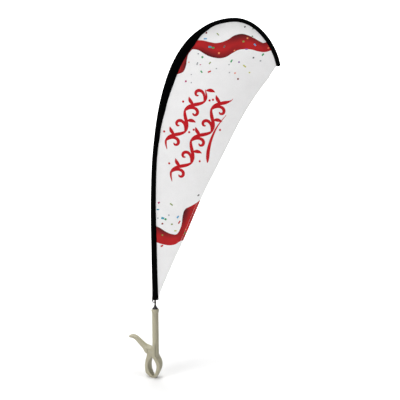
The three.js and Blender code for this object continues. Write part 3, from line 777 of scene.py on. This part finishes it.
def triangulate(edge):
    """The flat cloth as (points, triangles), cut along every edge of the print."""
    low, high = edge.min(0), edge.max(0)
    rows = []
    for j, z in enumerate(np.arange(low[1], high[1], GRID * 0.87)):
        xs = np.arange(low[0] + (j % 2) * GRID / 2, high[0], GRID)
        rows.append(np.stack([xs, np.full(len(xs), z)], 1))
    fill = np.vstack(rows)
    fill = fill[inside(fill, edge)]
    fill = fill[clearance(edge, fill) > 0.45 * GRID]
    points, edges = [], []
    for shape in [edge, *(region[0] for region in PRINT.regions)]:
        start = len(points)
        points += [*map(tuple, shape)]
        edges += [(start + i, start + (i + 1) % len(shape)) for i in range(len(shape))]
    points += [*map(tuple, fill)]
    made = delaunay_2d_cdt([Vector(p) for p in points], edges, [], 0, 1e-6)
    flat = np.array([tuple(v) for v in made[0]])
    tris = np.array(made[2])
    tris = tris[inside(flat[tris].mean(axis=1), edge)]
    used, tris = np.unique(tris, return_inverse=True)
    return flat[used], tris.reshape(-1, 3)


def membrane(flat, tris):
    """How far a light, even breeze pushes the cloth out: held along the sleeve, its free edge taut."""
    corner = flat[tris]
    rows, cols, weights = [], [], []
    for k in range(3):
        i, j = tris[:, (k + 1) % 3], tris[:, (k + 2) % 3]
        a = corner[:, (k + 1) % 3] - corner[:, k]
        b = corner[:, (k + 2) % 3] - corner[:, k]
        w = np.clip((a * b).sum(1) / np.maximum(np.abs(cross(a, b)), 1e-12), -4, 20) / 2
        rows += [i, j]
        cols += [j, i]
        weights += [w, w]
    area = np.zeros(len(flat))
    a, b = corner[:, 1] - corner[:, 0], corner[:, 2] - corner[:, 0]
    for k in range(3):
        np.add.at(area, tris[:, k], np.abs(cross(a, b)) / 6)
    order = [int(np.argmin(((flat - p) ** 2).sum(1))) for p in FREE_EDGE]
    order = [i for n, i in enumerate(order) if n == 0 or order[n - 1] != i]
    ends = np.array(list(zip(order, order[1:])))
    taut = HEM_PULL / np.maximum(np.linalg.norm(flat[ends[:, 0]] - flat[ends[:, 1]], axis=1), 1e-4)
    rows += [ends[:, 0], ends[:, 1]]
    cols += [ends[:, 1], ends[:, 0]]
    weights += [taut, taut]
    rows, cols, weights = (np.concatenate(x) for x in (rows, cols, weights))
    held = clearance(SEAM, flat) < TUCK + 0.6 * MM
    held[[order[0], order[-1]]] = True
    diagonal = np.bincount(rows, weights, len(flat)) + 1e-9

    def stiffness(u):
        u = np.where(held, 0, u)
        out = diagonal * u - np.bincount(rows, weights * u[cols], len(flat))
        return np.where(held, 0, out)

    load = np.where(held, 0, area)
    u, rest = np.zeros(len(flat)), load.copy()
    z = rest / diagonal
    p, rz = z.copy(), rest @ z
    for _ in range(900):
        kp = stiffness(p)
        step = rz / max(p @ kp, 1e-30)
        u += step * p
        rest -= step * kp
        z = np.where(held, 0, rest / diagonal)
        fresh = rest @ z
        if fresh < 1e-18:
            break
        p = z + p * (fresh / rz)
        rz = fresh
    return u / u.max()


def creases(flat):
    """Small puckers beside the sleeve's seam and faint soft folds across the cloth."""
    out = np.zeros(len(flat))
    along = lengths_along(SEAM)
    for n, (x, z) in enumerate(flat):
        gaps = ((SEAM - (x, z)) ** 2).sum(1)
        k = int(np.argmin(gaps))
        d = math.sqrt(gaps[k])
        wander = noise.noise(Vector((along[k] * 9, 3.1, 0)))
        pucker = math.sin(2 * math.pi * along[k] / PUCKER_PITCH + 4 * wander) * (0.6 + wander)
        out[n] += PUCKER_HEIGHT * pucker * math.exp(-d / 0.016) * (1 - math.exp(-d / 0.003))
        slant = Vector(((x * 0.83 - z * 0.55) * 13, (x * 0.55 + z * 0.83) * 3.2, 7.7))
        out[n] += FOLD_HEIGHT * noise.noise(slant) * (1 - math.exp(-d / 0.05))
    return out


def paint(obj, colours):
    """Gives each face corner its ink, as a colour attribute."""
    mesh = obj.data
    layer = mesh.color_attributes.new("Print", "FLOAT_COLOR", "CORNER")
    rgba = np.hstack([colours, np.ones((len(colours), 1))])
    layer.data.foreach_set("color", rgba.astype(np.float32).ravel())
    mesh.color_attributes.active_color = layer


def thicken(obj, thickness, offset=0.0):
    solid = obj.modifiers.new("thickness", "SOLIDIFY")
    solid.thickness, solid.offset, solid.use_even_offset = thickness, offset, True
    return apply_modifiers(obj)


def build_cloth(look):
    """The printed cloth, and what reads how far it stands out."""
    flat, tris = triangulate(cloth_outline())
    push = membrane(flat, tris) * BILLOW + creases(flat)
    verts = np.stack([flat[:, 0], CLOTH_Y - push, flat[:, 1]], 1)
    a, b = flat[tris[:, 1]] - flat[tris[:, 0]], flat[tris[:, 2]] - flat[tris[:, 0]]
    turned = cross(a, b) < 0
    tris[turned] = tris[turned][:, ::-1]
    cloth = new_object("flag_cloth", verts, tris.tolist())
    paint(cloth, PRINT.ink(flat[tris]).reshape(-1, 3))
    thicken(cloth, CLOTH_THICK)
    return finished(cloth, look, stands_for=["flag_panel"]), Drape(flat, push)


# ---------------- hem and stitches
HEM_WIDE = 8 * MM


class Drape:
    """Reads how far the finished cloth stands out at any flat point."""

    def __init__(self, flat, push):
        self.flat, self.push = flat, push

    def at(self, points):
        out = []
        for p in points:
            gaps = ((self.flat - p) ** 2).sum(1)
            near = np.argpartition(gaps, 4)[:4]
            weights = 1 / (gaps[near] + 1e-8)
            out.append((self.push[near] * weights).sum() / weights.sum())
        return np.array(out)


def capsules(name, places, radius, length, look):
    """Short thread stitches in one piece: each place is its centre and its direction."""
    verts, faces = [], []
    rows = [(-0.5, 0.45), (-0.32, 1.0), (0.0, 1.12), (0.32, 1.0), (0.5, 0.45)]
    sides = 6
    for centre, along, out in places:
        along, out = along / np.linalg.norm(along), out / np.linalg.norm(out)
        side = np.cross(along, out)
        start = len(verts)
        for share, fat in rows:
            sink = -radius * 0.9 * (2 * abs(share)) ** 3
            middle = centre + along * share * length + out * sink
            for a in around(sides):
                verts.append(middle + (side * math.cos(a) + out * math.sin(a) * 0.7) * radius * fat)
        for r in range(len(rows) - 1):
            for k in range(sides):
                n = (k + 1) % sides
                a, b = start + r * sides, start + (r + 1) * sides
                faces.append((a + k, a + n, b + n, b + k))
        faces.append(tuple(start + k for k in reversed(range(sides))))
        last = start + (len(rows) - 1) * sides
        faces.append(tuple(last + k for k in range(sides)))
    return finished(new_object(name, verts, faces), look)


def stitch_row(line, ys, side, pitch, length, lift):
    """Places for stitches along a line of (x, z) points at depths ys, in front (-1) or behind (+1)."""
    along = lengths_along(line)
    lie = np.stack([line[:, 0], ys, line[:, 1]], 1)
    places = []
    for at in np.arange(pitch, along[-1] - pitch, pitch):
        shares = at - length / 2, at + length / 2
        ends = [np.array([np.interp(s, along, lie[:, k]) for k in range(3)]) for s in shares]
        middle = (ends[0] + ends[1]) / 2 + np.array((0, side * lift, 0))
        places.append((middle, ends[1] - ends[0], np.array((0, side, 0.0))))
    return places


def build_hem(look, thread_look, drape):
    """The free edge, folded over twice into a flat strip, and its two rows of stitches."""
    count = 470
    edge = smooth_line(FREE_EDGE, count)
    inwards = -normals_of(edge) * FREE_SIDE
    reach = np.minimum(HEM_WIDE, clearance(SEAM, edge) + 3 * MM)
    shares = np.array([0.0, 0.03, 0.12, 0.3, 0.5, 0.7, 0.88, 0.97, 1.0])
    thick = np.array([0.0, 0.42, 0.62, 0.66, 0.64, 0.66, 0.64, 0.52, 0.30]) * MM
    rings = []
    for i in range(count):
        points = edge[i] + inwards[i] * (shares * reach[i])[:, None]
        push = drape.at(points)
        front = np.stack([points[:, 0], CLOTH_Y - push - thick, points[:, 1]], 1)
        back = np.stack([points[:, 0], CLOTH_Y - push + thick, points[:, 1]], 1)[1:][::-1]
        rings.append(np.vstack([front, back]))
    verts, faces = loft(rings)
    hem = new_object("hem", verts, faces)
    sides = [p for p in hem.data.polygons if p.loop_total == 4]
    corners = verts[[list(p.vertices) for p in sides]][:, :, [0, 2]]
    plain = np.tile(WHITE, (sum(p.loop_total for p in hem.data.polygons[len(sides):]), 1))
    paint(hem, np.vstack([PRINT.ink(corners).reshape(-1, 3), plain]))
    hem = finished(hem, look, stands_for=["trailing_hem"], sharp=60)
    rows = []
    for share in (0.2, 0.84):
        line = edge + inwards * (share * reach)[:, None]
        push = drape.at(line)
        for side in (-1, 1):
            rows += stitch_row(line[6:-6], (CLOTH_Y - push)[6:-6], side, 4.2 * MM, 3.1 * MM, 0.72 * MM)
    return hem, capsules("hem_stitches", rows, 0.28 * MM, 3.1 * MM, thread_look)


def loft(rings, caps=True):
    """Quads between closed rings of equal size: (vertices, faces)."""
    size = len(rings[0])
    verts = np.vstack(rings)
    faces = []
    for r in range(len(rings) - 1):
        for k in range(size):
            n = (k + 1) % size
            a, b = r * size, (r + 1) * size
            faces.append((a + k, b + k, b + n, a + n))
    if caps:
        faces.append(tuple(range(size)))
        faces.append(tuple((len(rings) - 1) * size + k for k in reversed(range(size))))
    return verts, faces


def lofted(name, rings, caps=True, weld=False):
    """A new object through closed rings, its faces turned outwards and its doubled points welded if asked."""
    obj = new_object(name, *loft(rings, caps))
    bm = bmesh.new()
    bm.from_mesh(obj.data)
    if weld:
        bmesh.ops.remove_doubles(bm, verts=bm.verts, dist=1e-6)
    bmesh.ops.recalc_face_normals(bm, faces=bm.faces)
    bm.to_mesh(obj.data)
    bm.free()
    obj.data.update()
    return obj


# ---------------- the black sleeve
POCKET_START = 0.955  # share of the pole's line where the end pocket starts
SEAM_HALF = 0.9 * MM  # half the sleeve's thickness at its seam
SWELL = 5.6 * MM  # half its thickness round the pole
GATHER_PITCH, GATHER_HEIGHT = 0.0105, 0.10 * MM
# How far the sleeve's outer edge stands off the pole's line, by share of that line.
STAND_OFF_AT = [0, 0.055, 0.15, 0.3, 0.38, 0.46, 0.52, 0.6, 0.65, 0.7, 0.735, 0.78, 1]
STAND_OFF_MM = [8.4, 7.6, 7.2, 7.5, 7.5, 6.9, 7.2, 7.2, 6.9, 6.3, 5.9, 5.6, 5.4]


def sleeve_section(width, stand_off, swell, sides=28):
    """(across, thickness) points round the sleeve: round about the pole, flat at the seam.

    across runs from 0 at the outer edge to the width at the seam.
    """
    reach = width - stand_off
    half = []
    for k in range(sides // 2 + 1):
        t = 1 - math.cos(math.pi * k / (sides // 2))
        across = width * t / 2
        n = across - stand_off
        if n < 0:
            h = swell * max(0.0, 1 - abs(n / stand_off) ** 2.3) ** 0.46
        else:
            h = SEAM_HALF + (swell - SEAM_HALF) * (1 - (n / reach) ** 2.0)
        half.append((across, h))
    return half + [(across, -h) for across, h in reversed(half[1:])]


def sleeve_rings(inner, outer, shares, swell_extra=0.0, wrinkle=0.22 * MM):
    """Sections of the sleeve between its two edges, slightly wrinkled and gathered at the seam."""
    inwards = inner - outer
    width = np.linalg.norm(inwards, axis=1)
    inwards /= width[:, None]
    along = lengths_along((inner + outer) / 2)
    off = np.interp(shares, STAND_OFF_AT, STAND_OFF_MM) * MM
    rings = []
    for i in range(len(inner)):
        stand_off = min(off[i], width[i] * 0.55)
        swell = min(SWELL, stand_off * 1.04) + swell_extra
        ring = []
        for across, h in sleeve_section(width[i], stand_off, swell):
            flat = outer[i] + inwards[i] * across
            where = Vector((along[i] * 62, across * 190, 2.0 if h > 0 else 9.0))
            fold = noise.noise(where) * wrinkle * (0.4 + 1.2 * across / width[i])
            gather = math.sin(along[i] * 2 * math.pi / GATHER_PITCH + 5 * noise.noise(where * 0.3))
            fold += GATHER_HEIGHT * gather * (across / width[i]) ** 2
            side = 1 if h > 0 else (-1 if h < 0 else 0)
            ring.append((flat[0], CLOTH_Y - h - side * fold, flat[1]))
        rings.append(np.array(ring))
    return rings


def build_sleeve(look, thread_look):
    """The open tube round the pole, and the stitches that hold the cloth in its seam."""
    count = 420
    inner, outer = smooth_line(SLEEVE_INNER, count), smooth_line(SLEEVE_OUTER, count)
    rings = sleeve_rings(inner, outer, np.linspace(0, POCKET_START, count))
    sleeve = lofted("flag_sleeve", rings, caps=False)
    thicken(sleeve, 0.55 * MM, offset=-1.0)
    finished(sleeve, look, stands_for=["sleeve"], sharp=70)
    seam = inner + unit(outer - inner) * 2.0 * MM
    rows = []
    for side in (-1, 1):
        rows += stitch_row(seam, np.full(count, CLOTH_Y), side, 3.8 * MM, 2.9 * MM, 1.6 * MM)
    capsules("seam_stitches", rows, 0.26 * MM, 2.9 * MM, thread_look)


def rounded(value, power):
    """A cosine or sine bent so that the oval that it draws is squarer."""
    return math.copysign(abs(value) ** power, value)


def build_cuff(look, thread_look):
    """The sleeve's doubled end, an oval tube whose lower lip is rolled, with its two rows of stitches."""
    low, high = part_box("sleeve_cuff")
    middle, half = (low + high) / 2, (high - low) / 2
    rise = high.z - low.z
    wall = 1.3 * MM
    # Round the wall's section: shares of the wall inwards and of the height upwards.
    profile = [(1, 1), (1, 0.25), (1.25, 0.08), (1, 0), (0.45, -0.01), (0.1, 0.06), (-0.05, 0.18)]
    profile += [(0.22, 0.26), (0.12, 0.5), (0.16, 0.8), (0.05, 0.97), (0.5, 1.02)]
    rings = []
    for depth, height in profile:
        inset, z = depth * wall, height * rise
        ring = []
        for a in around(48):
            pucker = 0.16 * MM * noise.noise(Vector((math.cos(a) * 2.5, math.sin(a) * 2.5, z * 400)))
            x = rounded(math.cos(a), 0.9) * (half.x - inset - pucker)
            y = rounded(math.sin(a), 0.9) * (half.y - inset - pucker)
            ring.append((middle.x + x, middle.y + y, low.z + z))
        rings.append(np.array(ring))
    rings.append(rings[0])
    cuff = lofted("sleeve_end", rings, caps=False, weld=True)
    finished(cuff, look, stands_for=["sleeve_cuff"], sharp=60)
    places = []
    count = 30
    for height in (0.34, 0.8):
        for k in range(count):
            a = 2 * math.pi * (k + 0.5) / count
            out = np.array((math.cos(a) / half.x, math.sin(a) / half.y, 0))
            out /= np.linalg.norm(out)
            x, y = rounded(math.cos(a), 0.9) * half.x, rounded(math.sin(a), 0.9) * half.y
            centre = np.array((middle.x + x, middle.y + y, low.z + height * rise))
            places.append((centre, np.cross((0, 0, 1.0), out), out))
    capsules("sleeve_end_stitches", places, 0.24 * MM, 1.5 * MM, thread_look)


def build_pocket(look, thread_look):
    """The pocket that holds the pole's end, with a blunt, sewn-down nose, and its stitches."""
    count = 26
    inner, outer = smooth_line(POCKET_INNER, count), smooth_line(POCKET_OUTER, count)
    back = ((inner[0] - inner[1]) + (outer[0] - outer[1])) / 2
    back *= 1.6 * MM / np.linalg.norm(back)
    grow = (inner[0] - outer[0]) / np.linalg.norm(inner[0] - outer[0]) * 0.35 * MM
    inner = np.vstack([inner[0] + back, inner]) + grow
    outer = np.vstack([outer[0] + back, outer]) - grow
    rings = sleeve_rings(inner, outer, np.linspace(POCKET_START, 1, count + 1), 0.12 * MM, 0.12 * MM)
    end = rings[-1]
    centre = end.mean(0)
    nose = np.array((POCKET_NOSE[0], centre[1], POCKET_NOSE[1])) - centre
    steps = 6
    for k in range(1, steps + 1):
        t = k / steps
        shrink = max(0.02, math.cos(t * math.pi / 2) ** 0.5)
        rings.append(centre + (end - centre) * shrink + nose * math.sin(t * math.pi / 2))
    finished(lofted("tip_pocket_cloth", rings), look, stands_for=["tip_pocket"], sharp=70)
    places = []
    middle, radius, height = 4.9 * MM, 6 * MM, 5.35 * MM
    for i in (3, 5):
        width = np.linalg.norm(inner[i] - outer[i])
        x, z = (inner[i] - outer[i]) / width
        for share in np.arange(0.12, 0.9, 0.16):
            flat = outer[i] + (inner[i] - outer[i]) * share
            n = share * width - middle
            h = height * math.sqrt(max(0.05, 1 - (n / radius) ** 2))
            for side in (-1, 1):
                at = np.array((flat[0], CLOTH_Y + side * h, flat[1]))
                places.append((at, np.array((x, 0, z)), np.array((x * n / radius, side, z * n / radius))))
    capsules("pocket_stitches", places, 0.24 * MM, 1.5 * MM, thread_look)


def build_strap(look):
    """Narrow webbing that goes round the ring's top and up under the cuff."""
    ring_low, ring_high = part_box("tension_ring")
    cuff_low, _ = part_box("sleeve_cuff")
    wire = 0.8 * MM
    x, y = (ring_low.x + ring_high.x) / 2, (ring_low.y + ring_high.y) / 2
    top = ring_high.z - wire
    wide, thick, bend = 3.4 * MM, 0.8 * MM, 1.75 * MM
    foot_x, sewn = x + 0.8 * MM, x + 3.2 * MM
    path = [(sewn, y - 1.5 * MM, cuff_low.z + 3 * MM), (sewn - 0.4 * MM, y - 1.6 * MM, cuff_low.z)]
    for k in range(13):
        a = math.pi * k / 12
        path.append((foot_x, y - bend * math.cos(a), top - bend * math.sin(a)))
    path += [(sewn - 0.4 * MM, y + 1.6 * MM, cuff_low.z), (sewn, y + 1.5 * MM, cuff_low.z + 3 * MM)]
    path = smooth_line(np.array(path), 60)
    rings = []
    for i, (p, t) in enumerate(zip(path, unit(np.gradient(path, axis=0)))):
        flat_way = np.array((1.0, 0, 0)) - t * t[0]
        flat_way /= np.linalg.norm(flat_way)
        out = np.cross(t, flat_way)
        ring = []
        for a in around(16):
            u = rounded(math.cos(a), 0.35) * wide / 2
            v = rounded(math.sin(a), 0.6) * thick / 2 * (1 + 0.12 * math.sin(i * 1.6))
            ring.append(p + flat_way * u + out * v)
        rings.append(np.array(ring))
    finished(lofted("ring_strap", rings), look, stands_for=["webbing_loop"], sharp=60)


# ---------------- the clamp
def moulded(name, node, look, body, voxel):
    """A moulded body: the CAD shape with its edges softened as a mould leaves them."""
    co, tris = merged(node)
    obj = new_object(name, co, tris.tolist())
    remesh = obj.modifiers.new("skin", "REMESH")
    remesh.mode, remesh.voxel_size = "VOXEL", voxel
    soften = obj.modifiers.new("soften", "SMOOTH")
    soften.factor, soften.iterations = 0.5, 3
    apply_modifiers(obj)
    finished(obj, look, body, stands_for=[node])


def soft_edges():
    """Geometry nodes that merge a CAD node's doubled vertices and shade it smooth up to sharp edges."""
    tree = bpy.data.node_groups.new("soft_edges", "GeometryNodeTree")
    tree.interface.new_socket("Geometry", in_out="INPUT", socket_type="NodeSocketGeometry")
    tree.interface.new_socket("Geometry", in_out="OUTPUT", socket_type="NodeSocketGeometry")
    nodes, links = tree.nodes, tree.links
    start, end = nodes.new("NodeGroupInput"), nodes.new("NodeGroupOutput")
    merge = nodes.new("GeometryNodeMergeByDistance")
    merge.inputs["Distance"].default_value = 1e-5
    remove = nodes.new("GeometryNodeRemoveAttribute")
    remove.inputs["Name"].default_value = "custom_normal"
    smooth = nodes.new("GeometryNodeSetShadeSmooth")
    edges = nodes.new("GeometryNodeSetShadeSmooth")
    edges.domain = "EDGE"
    edges.inputs["Shade Smooth"].default_value = False
    angle = nodes.new("GeometryNodeInputMeshEdgeAngle")
    limit = nodes.new("FunctionNodeCompare")
    limit.data_type, limit.operation = "FLOAT", "GREATER_THAN"
    limit.inputs[1].default_value = math.radians(32)
    chain = [start, merge, remove, smooth, edges, end]
    for a, b in zip(chain, chain[1:]):
        links.new(a.outputs[0], b.inputs[0])
    links.new(angle.outputs["Unsigned Angle"], limit.inputs[0])
    links.new(limit.outputs[0], edges.inputs["Selection"])
    return tree


# ---------------- the scene
target = add_camera()
add_floor()

khaki, black = clamp_plastic(), black_plastic()
cloth_black, cloth_print = black_cloth(), printed_cloth()
steel = metal("steel", (0.42, 0.42, 0.43), (0.68, 0.68, 0.69), 0.25)
ferrule_steel = metal("ferrule_steel", (0.50, 0.50, 0.51), (0.74, 0.74, 0.75), 0.22)
lacquer, rod = dark_lacquer(), pole_rod()
white_thread = thread("white_thread", (0.60, 0.60, 0.60), (0.80, 0.80, 0.80))
black_thread = thread("black_thread", (0.006, 0.006, 0.007), (0.02, 0.02, 0.022))

cloth, drape = build_cloth(cloth_print)
hem, hem_stitches = build_hem(cloth_print, white_thread, drape)
build_sleeve(cloth_black, black_thread)
build_cuff(cloth_black, black_thread)
build_pocket(cloth_black, black_thread)
build_strap(cloth_black)

moulded("handle_body", "socket_handle", khaki, "clamp", 0.8 * MM)
moulded("lever_body", "lever_jaw", khaki, "lever", 0.7 * MM)

LOOKS = [
    (khaki, ["pivot_cover_front", "pivot_cover_rear"]),
    (steel, ["pivot_pin", "spring_coil", "spring_leg", "thrust_washer", "snap_ring"]),
    (lacquer, ["pole_foot", "hook_collar"]),
    (ferrule_steel, ["lower_ferrule", "upper_ferrule", "tension_ring"]),
    (black, ["lower_bush", "cone_bush", "tip_cap"]),
    (rod, ["spacer_tube", "lower_section", "middle_section", "tip_section"]),
]
edges = soft_edges()
for look, names in LOOKS:
    for name in names:
        node = NODES[name]
        node.data.materials.clear()
        node.data.materials.append(look)
        node.modifiers.new("soft_edges", "NODES").node_group = edges

light_room()
add_area_light("key", target + Vector((-1.75, -1.35, 1.1)), target, 1.3, 20)
add_area_light("top", target + Vector((-0.14, 0.0, 2.1)), target, 1.1, 46)
bpy.context.scene.view_settings.view_transform = "Standard"
